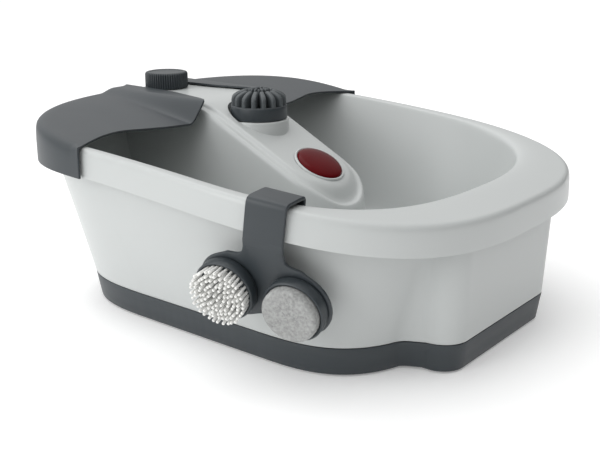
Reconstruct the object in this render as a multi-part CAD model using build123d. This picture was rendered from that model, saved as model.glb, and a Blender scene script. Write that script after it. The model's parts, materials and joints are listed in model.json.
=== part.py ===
from build123d import *
import math
import os

# Foot spa basin. Millimetres, +Z up. The user sits at -Y, the control knob is at the back (+Y),
# and the pedicure clip hangs on the -X side. The origin lies under the middle of the base.

# Driving dimensions
RIM_HALF = 185.0            # half width over the rim
RIM_FRONT = -213.0
RIM_BACK = 214.0
RIM_Z = 148.0               # rim height at Y = 0
RIM_SLOPE = 0.077           # the rim climbs to the back
RIM_SAG = 0.000168          # and falls away in a shallow arc to the front
BAND = 23.0                 # height of the band that hangs from the rim
WALL = 2.5
SHELL = 3.0                 # wall of the inner tub
FLOOR_Z = 40.0              # top of the tub floor
SPLIT_Z = 24.5              # joint line between the light body and the dark base
BASE_Z = 2.0                # underside of the base, lifted by the feet
BLOCK_HALF = 84.0           # front foot block at the joint line
BLOCK_FRONT = -197.5
BLOCK_CORNER = 22.0
REACH = 260.0               # beyond the object on every side

PLATFORM_Z = 172.5          # console platform that carries the knob
SLOPE_Z = 126.5             # height of the console slope at Y = 0
SLOPE = 0.49                # rise of the console slope per millimetre to the back
LENS_Y = -9.2
LENS_TILT = 28.0
LENS_R = 22.5
PEDESTAL_Y = 61.0
PEDESTAL_Z = 155.6
PEDESTAL_R = 27.5
POST_R = 6.0
CAP_R = 26.0
KNOB_Y = 182.0
KNOB_R = 21.0
KNOB_HEIGHT = 15.5
SHAFT_R = 3.0
MOTOR_Y = 105.0
MOTOR_R = 22.0

GUARD_Z = 175.5             # top of a splash guard beside the console
GUARD_BACK_Z = 172.5        # and over the rim at the back
GUARD_FALL = 16.5           # drop of its deck from the back to its front edge
GUARD_INNER_X = 24.0
GUARD_THICK = 2.0
GUARD_GAP = 2.4             # between the guard's skirt and the rim band

CLIP_Y = -101.0             # middle of the clip's strap, along the rim
CLIP_TURN = 192.0           # the rim's outward direction there, from +X
CLIP_THICK = 3.0
CLIP_TILT = -6.3            # the strap lies square to the falling rim
CLIP_LEAN = 14.0            # the lower plate leans in with the body wall
STRAP_HALF = 16.0
HEAD_R = 24.0
HEAD_SPACING = 28.0         # head axes, either side of the strap
HEAD_DROP = 44.0            # down the leaning plate, from its bend
BRUSH_SIDE = -1             # the brush sits towards the back, the pumice towards the front

STEPS = 6                   # points in each quarter of an outline


def rim_z(y):
    """Height of the rim's top surface."""
    return RIM_Z + RIM_SLOPE * y - RIM_SAG * y * y


def egg(half, front, back, straight=(-5.0, 95.0), powers=(2.9, 2.6), widen=0.0):
    """Outline of two superelliptic ends and straight sides, as points from the front centre.

    widen grows the half width in proportion to the distance behind the front end."""
    near, far = straight
    quarter = [math.pi / 2 * step / STEPS for step in range(STEPS + 1)]
    side = []
    for angle in quarter:
        x = half * math.sin(angle) ** (2 / powers[0])
        side.append((x, near - (near - front) * abs(math.cos(angle)) ** (2 / powers[0])))
    side += [(half, near + (far - near) * part) for part in (0.33, 0.67)]
    for angle in reversed(quarter):
        x = half * math.sin(angle) ** (2 / powers[1])
        side.append((x, far + (back - far) * abs(math.cos(angle)) ** (2 / powers[1])))
    side = [(x * (1 + widen * (y - front) / (back - front)), y) for x, y in side]
    return side + [(-x, y) for x, y in side[-2:0:-1]]


def ring_wire(points, z):
    """Smooth closed wire through the points of an outline, at a height."""
    return Wire([Spline(*[(x, y, z) for x, y in points], periodic=True)])


def prism(points, low, high):
    """Upright solid on an outline."""
    return extrude(Face(ring_wire(points, low)), amount=high - low, dir=(0, 0, 1))


def stacked(sections):
    """Solid through outlines given as (height, points), with straight sides between them."""
    return Solid.make_loft([ring_wire(points, z) for z, points in sections], ruled=True)


def box(x_range, y_range, z_range):
    """Box between two limits on each axis."""
    sizes = [high - low for low, high in (x_range, y_range, z_range)]
    middle = [(high + low) / 2 for low, high in (x_range, y_range, z_range)]
    return Pos(*middle) * Box(*sizes)


def tube(x, y, low, high, radius, bore=0.0):
    """Upright cylinder, bored through when a bore radius is given."""
    body = Pos(x, y, (low + high) / 2) * Cylinder(radius, high - low)
    if bore:
        body -= Pos(x, y, (low + high) / 2) * Cylinder(bore, high - low + 2)
    return body


def under_rim(drop):
    """Everything below the rim's top surface, lowered by drop."""
    start, middle, end = [(0, y, rim_z(y) - drop) for y in (-REACH, 0, REACH)]
    arc = ThreePointArc(start, middle, end)
    floor = Polyline(end, (0, REACH, -REACH), (0, -REACH, -REACH), start)
    return extrude(Face(Wire([arc, *floor.edges()])), amount=REACH, dir=(1, 0, 0), both=True)


# ---- Outlines of the tub and the body ----

def rim_outline(inset=0.0):
    return egg(RIM_HALF - inset, RIM_FRONT + inset, RIM_BACK - inset)


def cavity(grow=0.0):
    """The space inside the tub; grow moves its walls and floor outwards."""
    floor = egg(130 + grow, -134 - grow, 160 + grow, (-60, 60), (2.6, 2.6))
    bend = egg(140 + grow, -145 - grow, 172 + grow, (-60, 60), (2.6, 2.6))
    mouth = egg(177 + grow, -174.5 - grow, 202.5 + grow, (-20, 95), (2.6, 2.6))
    return stacked([(FLOOR_Z - grow, floor), (FLOOR_Z + 11, bend), (162, mouth)])


def body_hull(inset=0.0):
    """Outer form of the body above the joint line, without the front block."""
    foot = egg(147 - inset, -166.5 + inset, 183.5 - inset, (-60, 60), (3.2, 3.2))
    head = egg(181 - inset, -200.5 + inset, 208.3 - inset)
    return stacked([(SPLIT_Z, foot), (160, head)])


def block_outline(half, front):
    """Rounded front block, as a face in the joint plane, running back under the tub."""
    back = -90.0
    slab = Pos(0, (front + back) / 2) * Rectangle(2 * half, back - front)
    corners = slab.vertices().group_by(Axis.Y)[0]
    return Pos(0, 0, SPLIT_Z) * fillet(corners, BLOCK_CORNER)


def block_up(inset=0.0):
    """Front block above the joint line, with a slight draft outwards."""
    face = block_outline(BLOCK_HALF - inset, BLOCK_FRONT + inset)
    return extrude(face, amount=110, taper=-2)


def block_down(inset=0.0):
    """Front block of the base, drawn in towards the floor."""
    face = block_outline(BLOCK_HALF - inset, BLOCK_FRONT + inset)
    return extrude(face, amount=-(SPLIT_Z - BASE_Z), taper=8)


def base_hull(inset=0.0):
    foot = egg(143.5 - inset, -163 + inset, 180 - inset, (-60, 60), (3.2, 3.2))
    head = egg(147 - inset, -166.5 + inset, 183.5 - inset, (-60, 60), (3.2, 3.2))
    return stacked([(BASE_Z, foot), (SPLIT_Z, head)])


# ---- Console ----

def console_wire(z, inset=0.0):
    """The console in plan at a height: a round nose, and straight sides that widen to the back."""
    nose = -86.8 + 0.418 * z + inset
    half = 56.3 - 0.133 * z - inset
    wide = half + 7
    back = 206.0 - inset
    shoulder = nose + half
    start, end = (half, shoulder, z), (-half, shoulder, z)
    arc = ThreePointArc(start, (0, nose, z), end)
    sides = Polyline(end, (-wide, back, z), (wide, back, z), start)
    return Wire([arc, *sides.edges()])


def console_form(inset, low, high):
    """Tapered console block between two heights."""
    return Solid.make_loft([console_wire(z, inset) for z in (low, high)], ruled=True)


def console_top(drop=0.0):
    """Everything under the platform, the slope and the nose, lowered by drop."""
    bend_y = (PLATFORM_Z - SLOPE_Z) / SLOPE
    outline = Polyline(
        (0, REACH, PLATFORM_Z - drop),
        (0, bend_y, PLATFORM_Z - drop),
        (0, -30, SLOPE_Z - 30 * SLOPE - drop),
        (0, -52, SLOPE_Z - 52 * SLOPE - 8 - drop),
        (0, -80, 40 - drop),
        (0, -80, -REACH),
        (0, REACH, -REACH),
        close=True,
    )
    return extrude(Face(Wire(outline.edges())), amount=REACH, dir=(1, 0, 0), both=True)


def console_hollow():
    """Space inside the console, open through the tub floor and closed by the tub's back wall."""
    outline = Polyline((0, -95, 10), (0, 148, 10), (0, 152, 40), (0, 162, 52), (0, 186, 140),
                       (0, 198, 165), (0, 198, 190), (0, -95, 190), close=True)
    length = extrude(Face(Wire(outline.edges())), amount=100, dir=(1, 0, 0), both=True)
    return console_form(SHELL, 10, 190) & console_top(SHELL) & length


def lens_place(lift=0.0):
    """Frame of the lens: on the console slope, Z along its normal."""
    height = SLOPE_Z + SLOPE * LENS_Y
    normal = Pos(0, LENS_Y, height) * Rot(LENS_TILT, 0, 0)
    return normal * Pos(0, 0, lift)


# ---- Fixed pieces ----

SCREW_SPOTS = [(sx * x, y) for x, y in ((105, -95), (118, 20), (95, 125)) for sx in (-1, 1)]
FOOT_SPOTS = [(sx * x, y) for x, y in ((58, -168), (112, 95), (112, -70)) for sx in (-1, 1)] + [(0, 0)]
MAT_X = 92.0


def rim_cap():
    """Flange and hanging band, left thick upwards until the rim's top is cut."""
    inside = prism(rim_outline(SHELL), 50, 200) & under_rim(SHELL)
    return prism(rim_outline(), 60, 190) - inside - under_rim(BAND)


def upper_basin():
    """Inner tub with its rim, the hollow console and the screw posts under the floor."""
    hollow = console_hollow()
    above_rim = box((-80, 80), (-120, 203), (152, 190))
    inside_wall = cavity(SHELL - 0.6) + above_rim
    skin = (console_form(0, 20, 190) & console_top() & inside_wall) - hollow
    tub = ((rim_cap() + cavity(SHELL)) & under_rim(0)) - cavity() - hollow
    tub += skin
    tub += tube(0, PEDESTAL_Y, PEDESTAL_Z - 25, PEDESTAL_Z, PEDESTAL_R)
    tub -= tube(0, PEDESTAL_Y, PEDESTAL_Z, 200, PEDESTAL_R + 1)
    tub -= hollow & tube(0, PEDESTAL_Y, 0, PEDESTAL_Z - SHELL, PEDESTAL_R + 2)
    tub += tube(0, PEDESTAL_Y, PEDESTAL_Z - 1, PEDESTAL_Z + 7, POST_R)
    tub -= tube(0, KNOB_Y, PLATFORM_Z - 10, PLATFORM_Z + 5, SHAFT_R + 0.6)
    tub -= lens_place() * Cylinder(LENS_R - 4, 30)
    tub -= lens_place(4) * Cylinder(LENS_R + 0.4, 8)
    for x, y in SCREW_SPOTS:
        tub += tube(x, y, 6, FLOOR_Z - SHELL + 0.5, 4.5, 1.6)
    return tub


def outer_body():
    """Light side wall between the rim and the base, with the front foot block."""
    outside = body_hull() + block_up()
    inside = body_hull(WALL) + block_up(WALL)
    wall = (outside - inside) & under_rim(SHELL + 0.3)
    return wall - inlet_place() * Cylinder(8, 16)


def base_pan():
    """Dark tray that closes the underside: walls, floor, air slots and screw holes."""
    outside = base_hull() + block_down()
    inside = base_hull(WALL) + block_down(WALL)
    pan = outside - (inside & box((-REACH, REACH), (-REACH, REACH), (BASE_Z + WALL, 60)))
    slots = [box((-28, 28), (y - 1.5, y + 1.5), (0, 10)) for y in range(78, 139, 8)]
    for slot in slots:
        pan -= slot
    for x, y in SCREW_SPOTS:
        pan -= tube(x, y, 0, 10, 2.2)
        pan -= tube(x, y, 0, BASE_Z + 1.2, 4.6)
    for x, y in FOOT_SPOTS:
        pan -= tube(x, y, 0, BASE_Z + 1.0, 9.2)
    return pan


def rubber_feet():
    """Seven pads in pockets under the base; the middle one carries the load of the feet."""
    pads = [chamfer(tube(x, y, 0, BASE_Z + 1.0, 9.0).faces().sort_by(Axis.Z)[0].edges(), 0.6)
            for x, y in FOOT_SPOTS]
    return pads


def base_screws():
    """Screws from the underside into the tub's posts."""
    return [tube(x, y, BASE_Z + 0.2, BASE_Z + 1.2, 4.2) + tube(x, y, BASE_Z + 0.5, 22, 1.5)
            for x, y in SCREW_SPOTS]


def foot_mat(side):
    """Nubbed air strip on the tub floor, under one foot."""
    outline = Pos(side * MAT_X, 8, FLOOR_Z) * SlotOverall(150, 46, rotation=90)
    mat = extrude(outline, amount=2.0)
    for row in range(-3, 4):
        for column in (-1, 0, 1):
            x = side * MAT_X + 13 * column
            mat += tube(x, 8 + 19 * row, FLOOR_Z + 1, FLOOR_Z + 4.5, 3.0)
    return mat


def air_channel(side):
    """Air channel glued under the tub floor, below the nubbed strip."""
    outline = Pos(side * MAT_X, 8, FLOOR_Z - SHELL - 7) * SlotOverall(130, 20, rotation=90)
    return extrude(outline, amount=7)


def air_hose(side):
    """Hose from the blower to one air channel."""
    start = (side * 37.1, MOTOR_Y - 14, 20)
    path = FilletPolyline(start, (side * 70, MOTOR_Y - 14, 20), (side * MAT_X, 55, 24), radius=10)
    section = Plane(origin=start, z_dir=(1, 0, 0)) * Circle(5)
    hose = sweep(section, path=path)
    return hose


def blower_housing():
    """Flat housing round the impeller, open at its middle, over the base's air slots."""
    case = tube(0, MOTOR_Y, 6, 30, 38, 0) - tube(0, MOTOR_Y, 8, 28, 35.5)
    case -= tube(0, MOTOR_Y, 4, 9, 16)
    case -= tube(0, MOTOR_Y, 27, 31, 5)
    case -= Pos(0, MOTOR_Y - 14, 20) * Rot(0, 90, 0) * Cylinder(4, 90)
    return case


def motor_body():
    """Vertical motor that drives the impeller below it and the shaker weight above it."""
    can = tube(0, MOTOR_Y, 34, 84, MOTOR_R)
    can = fillet(can.edges().filter_by(GeomType.CIRCLE), 2)
    return can - tube(0, MOTOR_Y, 30, 90, SHAFT_R - 0.5 + 0.05)


def motor_bracket():
    """Bracket plate between the blower housing and the motor, with two tabs."""
    plate = tube(0, MOTOR_Y, 30, 34, 28, 5)
    return plate + box((-44, -24), (MOTOR_Y - 7, MOTOR_Y + 7), (30, 32.5)) + box(
        (24, 44), (MOTOR_Y - 7, MOTOR_Y + 7), (30, 32.5))


def heater_plate():
    """Aluminium keep-warm plate against the underside of the tub floor."""
    return box((-85, 85), (-108, -84), (FLOOR_Z - SHELL - 2.0, FLOOR_Z - SHELL))


def thermostat():
    return tube(40, -96, FLOOR_Z - SHELL - 12, FLOOR_Z - SHELL - 2, 8)


def thermal_fuse():
    fuse = Pos(-40, -96, FLOOR_Z - SHELL - 4.5) * Rot(0, 90, 0) * Cylinder(2.5, 16)
    return fuse


def selector_switch():
    """Rotary switch under the platform."""
    body = box((-14, 14), (KNOB_Y - 14, KNOB_Y + 7), (150, PLATFORM_Z - SHELL))
    return body - tube(0, KNOB_Y, 152, 180, SHAFT_R + 0.05)


def control_board():
    return box((-24, 24), (110, 160), (134, 135.6)) + box((-8, 8), (118, 140), (135.6, 147))


def lamp_board():
    """Round circuit board behind the lens, with its lamps."""
    board = lens_place(-16) * Cylinder(15, 1.6)
    for turn in range(6):
        spot = Rot(0, 0, 60 * turn) * Pos(9, 0, 0)
        board += lens_place(-15.2) * spot * Pos(0, 0, 2) * Cylinder(2.4, 5)
    return board


def lamp_reflector():
    """Cup that holds the board and gathers the light behind the lens."""
    cup = lens_place(-10) * (Cylinder(18, 16) - Pos(0, 0, 1.5) * Cylinder(16.5, 14))
    return cup - lens_place(-16) * Cylinder(15.1, 1.8)


def lens_seal():
    return lens_place(0.5) * (Cylinder(LENS_R, 1.0) - Cylinder(LENS_R - 4, 3))


def red_lens():
    """Shallow red dome over the lamp."""
    dome_r = 62.0
    dome = lens_place(5.0 - dome_r) * Sphere(dome_r)
    return dome & (lens_place(6.0) * Cylinder(LENS_R, 10))


def inlet_place():
    """Frame of the cord inlet on the back wall, Z outwards along the wall's normal."""
    lean = (208.3 - 183.5) / (160 - SPLIT_Z)
    return Pos(0, 183.5 + lean * (58 - SPLIT_Z), 58) * Rot(-90 - math.degrees(math.atan(lean)), 0, 0)


def cord_inlet():
    """Grommet in the back wall, where the supply cord enters."""
    place = inlet_place()
    flange = place * Pos(0, 0, 1.4) * Cylinder(11, 2.4)
    neck = place * Pos(0, 0, -2) * Cylinder(7.8, 8)
    return (flange + neck) - place * Cylinder(3.5, 30)


def terminal_block():
    block = box((-50, -22), (150, 164), (4.5, 18))
    return block


def knob_seal():
    """Ring that keeps water out of the selector shaft's hole."""
    return tube(0, KNOB_Y, PLATFORM_Z - 2.4, PLATFORM_Z - 0.4, SHAFT_R + 0.55, SHAFT_R + 0.05)


# ---- Pieces that move ----

def knob():
    """Ribbed selector knob with a slightly domed top."""
    low = PLATFORM_Z + 0.6
    body = tube(0, KNOB_Y, low, low + KNOB_HEIGHT, KNOB_R - 0.8)
    body = fillet(body.edges().group_by(Axis.Z)[-1], 2.0)
    for rib in range(48):
        spot = Pos(0, KNOB_Y) * Rot(0, 0, 7.5 * rib) * Pos(KNOB_R - 0.8, 0, low + KNOB_HEIGHT / 2 - 1.2)
        body += spot * Cylinder(0.8, KNOB_HEIGHT - 2.4)
    return body - tube(0, KNOB_Y, low - 1, low + 11, SHAFT_R)


def selector_shaft():
    return tube(0, KNOB_Y, 156, PLATFORM_Z + 0.6 + 11, SHAFT_R)


def rotor_shaft():
    return tube(0, MOTOR_Y, 12, 96, SHAFT_R - 0.5)


def impeller():
    """Blower wheel on the lower end of the shaft."""
    wheel = tube(0, MOTOR_Y, 22, 24, 33) + tube(0, MOTOR_Y, 12, 24, 7)
    for blade in range(12):
        spot = Pos(0, MOTOR_Y, 17) * Rot(0, 0, 30 * blade) * Pos(23, 0, 0) * Rot(0, 0, 25)
        wheel += spot * Box(18, 1.4, 11)
    return wheel - tube(0, MOTOR_Y, 0, 60, SHAFT_R - 0.5)


def shaker_weight():
    """Off-centre weight on the upper end of the shaft, which makes the tub vibrate."""
    half = tube(0, MOTOR_Y, 87, 94, 15) & box((-20, 20), (MOTOR_Y - 4, MOTOR_Y + 20), (80, 100))
    half += tube(0, MOTOR_Y, 87, 94, 6)
    return half - tube(0, MOTOR_Y, 80, 100, SHAFT_R - 0.5)


def guard_deck(x, y):
    """Height of a guard's top: it climbs to the back and steps up over the console."""
    back = min(y, 215.0)
    deck = GUARD_BACK_Z - GUARD_FALL * ((215.0 - back) / 125.0) ** 1.3
    deck = max(deck, rim_z(back) + GUARD_THICK + 0.4)
    part = min(max((62.0 - abs(x)) / 18.0, 0.0), 1.0)
    return deck + (GUARD_Z - deck) * part * part * (3 - 2 * part)


def under_guard(drop):
    """Everything below a guard's top surface, lowered by drop."""
    wires = []
    for y in (60, 92, 124, 156, 188, 225):
        points = [(x, y, guard_deck(x, y) - drop) for x in (-205, -62, -57.5, -53, -48.5, -44, -20)]
        sides = [(points[-1][0], y, 100), (points[0][0], y, 100)]
        wires.append(Wire(Polyline(*points, *sides, close=True).edges()))
    return Solid.make_loft(wires, ruled=True)


def guard_plan():
    """Plan of the left guard, bounded inside the tub by its S-shaped edge."""
    edge = [(-200, 84), (-187, 87), (-167, 96), (-148, 102), (-128, 103.5), (-106, 98), (-85, 93),
            (-66, 90), (-55, 87.5), (-47, 86.5), (-41, 93), (-34, 120), (-28, 147), (-26, 176),
            (-GUARD_INNER_X, 225)]
    curve = Spline(*[(x, y, 100) for x, y in edge])
    back = Polyline((-GUARD_INNER_X, 225, 100), (-215, 225, 100), (-215, 84, 100), (-200, 84, 100))
    return extrude(Face(Wire([curve, *back.edges()])), amount=100, dir=(0, 0, 1))


def splash_guard():
    """Left splash guard: a swept-up deck and a skirt that hangs over the rim band."""
    outer = prism(rim_outline(-GUARD_GAP - GUARD_THICK), 60, 190)
    inner = prism(rim_outline(-GUARD_GAP), 50, 200)
    deck = (under_guard(0) - under_guard(GUARD_THICK)) & outer
    skirt = (under_guard(0) & outer) - inner - under_rim(BAND)
    return (deck + skirt) & guard_plan()


def massage_cap():
    """Cup that plugs on to the pedestal post."""
    low = PEDESTAL_Z + 0.4
    cap = tube(0, PEDESTAL_Y, low, low + 12.5, CAP_R)
    cap = fillet(cap.edges().group_by(Axis.Z)[-1], 1.2)
    cap -= tube(0, PEDESTAL_Y, low + 9.5, low + 14, CAP_R - 2.2)
    return cap - tube(0, PEDESTAL_Y, low - 1, low + 8, POST_R + 0.2)


FINGER_RINGS = ((21.4, 20, 12.0), (15.0, 12, 15.0), (8.0, 6, 17.0))    # radius, count, height


def massage_fingers():
    """Soft insert with rings of fingers under a domed envelope."""
    low = PEDESTAL_Z + 0.4 + 9.5
    insert = tube(0, PEDESTAL_Y, low, low + 3.5, CAP_R - 2.3)
    for radius, count, height in FINGER_RINGS:
        for index in range(count):
            place = Pos(0, PEDESTAL_Y) * Rot(0, 0, 360 * index / count)
            place *= Pos(radius, 0, low + 3 + height / 2)
            insert += place * Cylinder(1.7, height)
    insert += tube(0, PEDESTAL_Y, low + 3, low + 21, 2.2)
    return insert


# ---- Pedicure clip, drawn with X outwards from the rim, Y along it, Z up ----

def clip_place():
    """Frame at the rim's outer edge beside the clip."""
    outline_power = 2.9
    along = (-5 - CLIP_Y) / (-5 - RIM_FRONT)
    x = -RIM_HALF * (1 - along ** outline_power) ** (1 / outline_power)
    return Pos(x, CLIP_Y, rim_z(CLIP_Y)) * Rot(0, 0, CLIP_TURN) * Rot(CLIP_TILT, 0, 0)


def plate_place():
    """Frame of the leaning lower plate: X along the head axes, Z up the plate."""
    return clip_place() * Pos(1.2, 0, -BAND - 2) * Rot(0, CLIP_LEAN, 0)


def accessory_clip():
    """Hook over the rim and a forked plate with two round seats."""
    outer = 1.2 + CLIP_THICK
    top = box((-26, outer), (-STRAP_HALF, STRAP_HALF), (2.2, 2.2 + CLIP_THICK))
    lip = box((-28, -26), (-STRAP_HALF, -3), (-6, 2.2 + CLIP_THICK))
    strap = box((1.2, outer), (-STRAP_HALF, STRAP_HALF), (-BAND - 3, 2.2 + CLIP_THICK))
    hook = clip_place() * (top + lip + strap)
    plate = box((0, CLIP_THICK), (-STRAP_HALF, STRAP_HALF), (-HEAD_DROP, 0.5))
    fork = Polyline((0, -STRAP_HALF, -18), (0, -HEAD_SPACING - 14, -HEAD_DROP + 20),
                    (0, -HEAD_SPACING, -HEAD_DROP - 10), (0, HEAD_SPACING, -HEAD_DROP - 10),
                    (0, HEAD_SPACING + 14, -HEAD_DROP + 20), (0, STRAP_HALF, -18), close=True)
    plate += extrude(Face(Wire(fork.edges())), amount=CLIP_THICK, dir=(1, 0, 0))
    for side in (-1, 1):
        seat = Pos(CLIP_THICK / 2, side * HEAD_SPACING, -HEAD_DROP) * Rot(0, 90, 0)
        plate += seat * Cylinder(HEAD_R + 1.5, CLIP_THICK)
        plate += Pos(4, 0, 0) * seat * Cylinder(5.0, 8)
    return hook + plate_place() * plate


def head_place(side):
    """Frame of one head: Z outwards along its axis, from the plate's face."""
    return plate_place() * Pos(CLIP_THICK + 0.4, side * HEAD_SPACING, -HEAD_DROP) * Rot(0, 90, 0)


def head_cup(side):
    """Dark cup that pushes on to a seat's stub."""
    cup = Pos(0, 0, 5) * Cylinder(HEAD_R, 10)
    cup = fillet(cup.edges().group_by(Axis.Z)[0], 2.0)
    cup -= Pos(0, 0, 3.5) * Cylinder(5.2, 7.2)
    cup -= Pos(0, 0, 9.5) * Cylinder(HEAD_R - 2, 3)
    return head_place(side) * cup


def brush_bristles():
    """Bristle bundle as one simple form: a disc with a short soft dome of tufts."""
    pad = Pos(0, 0, 9) * Cylinder(HEAD_R - 2.1, 2)
    for ring, count in ((20.5, 26), (16.5, 20), (12.5, 15), (8.5, 9)):
        for index in range(count):
            spot = Rot(0, 0, 360 * index / count) * Pos(ring, 0, 15.5)
            pad += spot * Cylinder(1.2, 12)
    return head_place(BRUSH_SIDE) * pad


def pumice_stone():
    stone = Pos(0, 0, 12.5) * Cylinder(HEAD_R - 2.6, 9)
    return head_place(-BRUSH_SIDE) * fillet(stone.edges().group_by(Axis.Z)[-1], 2.5)


def mirrored(shape):
    return mirror(shape, about=Plane.YZ)


def build_parts():
    """Every sub-part by its node name."""
    left_guard = splash_guard()
    return {
        "upper_basin": upper_basin(),
        "outer_body": outer_body(),
        "base_pan": base_pan(),
        "rubber_feet": rubber_feet(),
        "base_screws": base_screws(),
        "foot_mat_left": foot_mat(-1),
        "foot_mat_right": foot_mat(1),
        "air_channel_left": air_channel(-1),
        "air_channel_right": air_channel(1),
        "air_hose_left": air_hose(-1),
        "air_hose_right": air_hose(1),
        "blower_housing": blower_housing(),
        "motor_bracket": motor_bracket(),
        "motor_body": motor_body(),
        "heater_plate": heater_plate(),
        "thermostat": thermostat(),
        "thermal_fuse": thermal_fuse(),
        "selector_switch": selector_switch(),
        "control_board": control_board(),
        "knob_seal": knob_seal(),
        "lamp_board": lamp_board(),
        "lamp_reflector": lamp_reflector(),
        "lens_seal": lens_seal(),
        "red_lens": red_lens(),
        "cord_inlet": cord_inlet(),
        "terminal_block": terminal_block(),
        "control_knob": knob(),
        "selector_shaft": selector_shaft(),
        "rotor_shaft": rotor_shaft(),
        "impeller": impeller(),
        "shaker_weight": shaker_weight(),
        "splash_guard_left": left_guard,
        "splash_guard_right": mirrored(left_guard),
        "massage_cap": massage_cap(),
        "massage_fingers": massage_fingers(),
        "accessory_clip": accessory_clip(),
        "brush_cup": head_cup(BRUSH_SIDE),
        "brush_bristles": brush_bristles(),
        "pumice_cup": head_cup(-BRUSH_SIDE),
        "pumice_stone": pumice_stone(),
    }


os.makedirs("parts", exist_ok=True)
for name, shape in build_parts().items():
    solids = shape if isinstance(shape, list) else shape.solids()
    export_step(Compound(children=list(solids)), f"parts/{name}.step")
    print(name, len(solids), round(sum(solid.volume for solid in solids)))
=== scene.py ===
"""Foot spa basin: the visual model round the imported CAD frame."""
import json
import math
import random

import bpy
import numpy as np
from mathutils import Matrix, Vector, noise


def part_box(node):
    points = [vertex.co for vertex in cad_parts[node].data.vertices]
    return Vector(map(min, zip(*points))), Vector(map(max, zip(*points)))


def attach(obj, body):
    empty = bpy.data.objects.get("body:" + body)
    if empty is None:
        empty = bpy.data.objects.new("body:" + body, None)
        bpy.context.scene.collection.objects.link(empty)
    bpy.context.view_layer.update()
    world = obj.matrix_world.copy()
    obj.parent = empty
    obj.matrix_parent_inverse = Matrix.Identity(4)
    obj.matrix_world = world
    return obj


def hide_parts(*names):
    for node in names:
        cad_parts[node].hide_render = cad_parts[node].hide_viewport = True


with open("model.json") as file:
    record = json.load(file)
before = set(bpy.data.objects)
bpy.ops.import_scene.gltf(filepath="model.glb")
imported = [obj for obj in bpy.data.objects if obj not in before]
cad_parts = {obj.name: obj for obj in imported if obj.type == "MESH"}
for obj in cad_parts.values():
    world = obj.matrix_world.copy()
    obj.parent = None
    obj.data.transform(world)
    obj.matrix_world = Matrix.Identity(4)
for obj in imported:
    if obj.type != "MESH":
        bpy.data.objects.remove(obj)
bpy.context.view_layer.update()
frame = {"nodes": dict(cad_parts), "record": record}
random.seed(11)

MM = 0.001


def span(node):
    """Lowest and highest corner of a CAD node in millimetres."""
    low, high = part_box(node)
    return np.array(low) / MM, np.array(high) / MM


# ---- Sizes, in millimetres, from the frame and the object's outlines ----
TUB_LOW, TUB_HIGH = span("upper_basin")
RIM_HALF = TUB_HIGH[0]
RIM_FRONT, RIM_BACK = TUB_LOW[1], TUB_HIGH[1]
RIM_Z, RIM_SLOPE, RIM_SAG = 148.0, 0.077, 0.000168
BAND = 23.0                  # height of the rim's outer band
LIP_DROP = 3.0               # from the rim's crest down to the inner wall
BEND_Z, WALL_RISE = 51.0, 111.0
FLOOR_Z, FLOOR_MIDDLE_Y = 40.0, 10.0
TUB_THICK = 2.4
SPLIT_Z = span("base_pan")[1][2]
BASE_Z = span("base_pan")[0][2]
WALL_CENTRE_Y = -5.0
WALL_HEAD_Z, WALL_ROWS_RISE = 160.0, 122.0
WALL_DRAFT, BASE_DRAFT = 2.0, 8.0
WALL_THICK, SKIRT_THICK = 2.0, 0.6
BLOCK_HALF, BLOCK_FRONT, BLOCK_BACK, BLOCK_CORNER = 84.0, -197.5, -40.0, 22.0
PLATFORM_Z, SLOPE_Z, SLOPE = 172.5, 126.5, 0.49
NOSE_BEND_Y, NOSE_BEND = -22.0, 0.012
CONSOLE_HALF, CONSOLE_NOSE_Y, CONSOLE_BACK_Y, CONSOLE_FLARE = 41.0, -47.0, 203.0, 4.0
CONSOLE_EDGE_DROP, CONSOLE_INSET, CONSOLE_REACH = 4.6, 8.5, 30.0
CONSOLE_LIMIT_FROM_Y, CONSOLE_LIMIT_Y = 196.0, 204.0
CAP_LOW, CAP_HIGH = span("massage_cap")
CAP_Y = (CAP_LOW[1] + CAP_HIGH[1]) / 2
CAP_R = (CAP_HIGH[0] - CAP_LOW[0]) / 2
PEDESTAL_Z = CAP_LOW[2] - 0.4
PEDESTAL_R, PEDESTAL_FOOT_Z = 27.5, 124.0
SEAT_GAP, SEAT_CUT_HEIGHT = 1.2, 60.0
KNOB_LOW, KNOB_HIGH = span("control_knob")
KNOB_Y = (KNOB_LOW[1] + KNOB_HIGH[1]) / 2
KNOB_R = (KNOB_HIGH[0] - KNOB_LOW[0]) / 2
GUARD_Z = span("splash_guard_left")[1][2]
GUARD_INNER_X = 24.0
GUARD_BACK_Z, GUARD_FALL, GUARD_BACK_Y, GUARD_RUN = 172.5, 16.5, 215.0, 125.0
GUARD_STEP_X, GUARD_STEP = 62.0, 18.0
GUARD_THICK = 2.0
GUARD_OUT = 4.35
GUARD_ROUND = 9.0            # radius between the deck and the skirt
GUARD_POINTS = 170           # points along each edge
LENS_Y, LENS_TILT, LENS_R = -9.2, 28.0, 22.5
CLIP_Y, CLIP_TURN, CLIP_TILT, CLIP_LEAN, CLIP_THICK = -101.0, 192.0, -6.3, 14.0, 3.0
STRAP_HALF, HEAD_R, HEAD_SPACING, HEAD_DROP = 16.0, 24.0, 28.0, 44.0
DOME_TALL, DOME_R = 18.0, 31.0   # envelope of the massage fingers
BRUSH_SIDE = -1
CLIP_OUT = 1.2               # gap between the rim band and the strap
PLATE_CENTRE = (0.0, -34.0)  # between the seats, across and up the plate
CUP_TALL, STONE_TOP = 8.4, 14.0
FINE = 44                    # outline points in each quarter
SIDE_POINTS = 12             # outline points along each straight side
FACETS = 96                  # points round a turned form
BEVEL_ANGLE = 50.0           # edges sharper than this are rounded


def rim_z(y):
    """Height of the rim's crest, which climbs to the back and sags a little."""
    return RIM_Z + RIM_SLOPE * y - RIM_SAG * y * y


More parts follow.
